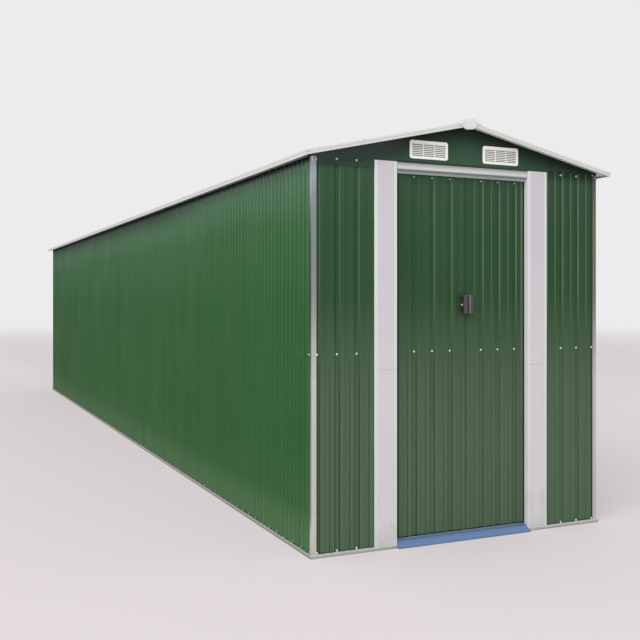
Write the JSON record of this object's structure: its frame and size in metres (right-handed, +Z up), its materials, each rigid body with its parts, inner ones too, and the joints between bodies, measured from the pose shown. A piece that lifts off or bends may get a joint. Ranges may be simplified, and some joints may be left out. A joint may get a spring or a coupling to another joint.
{
  "type": "metal storage shed",
  "caption": "Long ribbed metal storage shed with a low pitched roof, vented gables and a pair of sliding door leaves in its front end.",
  "frame": {"origin": "on the ground under the middle of the shed", "axes": "+Z up, +Y along the shed from the door end to the back, +X to the right of the doors"},
  "size_m": [1.92, 9.396, 2.26],
  "materials": {
    "green_front": "satin paint on ribbed sheet",
    "green_wall": "satin paint on ribbed sheet",
    "white_trim": "satin paint on folded sheet",
    "galvanised": "spangled zinc coating",
    "ramp_blue": "moulded",
    "vent_white": "moulded",
    "handle_grey": "moulded",
    "glide_nylon": "moulded"
  },
  "bodies": {
    "shed": {"back_gable": "green_front", "back_vents": "vent_white", "back_wall": "green_front", "back_wall_rails": "galvanised", "base_rail_back": "galvanised", "base_rail_front": "galvanised", "base_rail_left": "galvanised", "base_rail_right": "galvanised", "corner_post_back_left": "galvanised", "corner_post_back_right": "galvanised", "corner_post_front_left": "galvanised", "corner_post_front_right": "galvanised", "door_header": "white_trim", "door_jamb_left": "white_trim", "door_jamb_right": "white_trim", "door_track": "galvanised", "eave_trim_left": "white_trim", "eave_trim_right": "white_trim", "front_gable": "green_front", "front_vents": "vent_white", "front_wall_left": "green_front", "front_wall_rails": "galvanised", "front_wall_right": "green_front", "left_wall": "green_wall", "left_wall_rails": "galvanised", "rake_trims_back": "white_trim", "rake_trims_front": "white_trim", "ridge_beam": "galvanised", "ridge_cap": "white_trim", "ridge_end_back": "vent_white", "ridge_end_front": "vent_white", "right_wall": "green_wall", "right_wall_rails": "galvanised", "roof_left": "green_wall", "roof_purlins": "galvanised", "roof_right": "green_wall", "roof_trusses": "galvanised", "threshold_ramp": "ramp_blue"},
    "left_door": {"left_door_frame": "galvanised", "left_door_glides": "glide_nylon", "left_door_handle": "handle_grey", "left_door_hangers": "galvanised", "left_door_skin": "green_front"},
    "right_door": {"right_door_frame": "galvanised", "right_door_glides": "glide_nylon", "right_door_handle": "handle_grey", "right_door_hangers": "galvanised", "right_door_skin": "green_front"}
  },
  "joints": [
    {"name": "left_door_slide", "type": "slide", "parent": "shed", "child": "left_door", "axis": [-1, 0, 0], "range_m": [0, 0.403]},
    {"name": "right_door_slide", "type": "slide", "parent": "shed", "child": "right_door", "axis": [1, 0, 0], "range_m": [0, 0.351]}
  ]
}
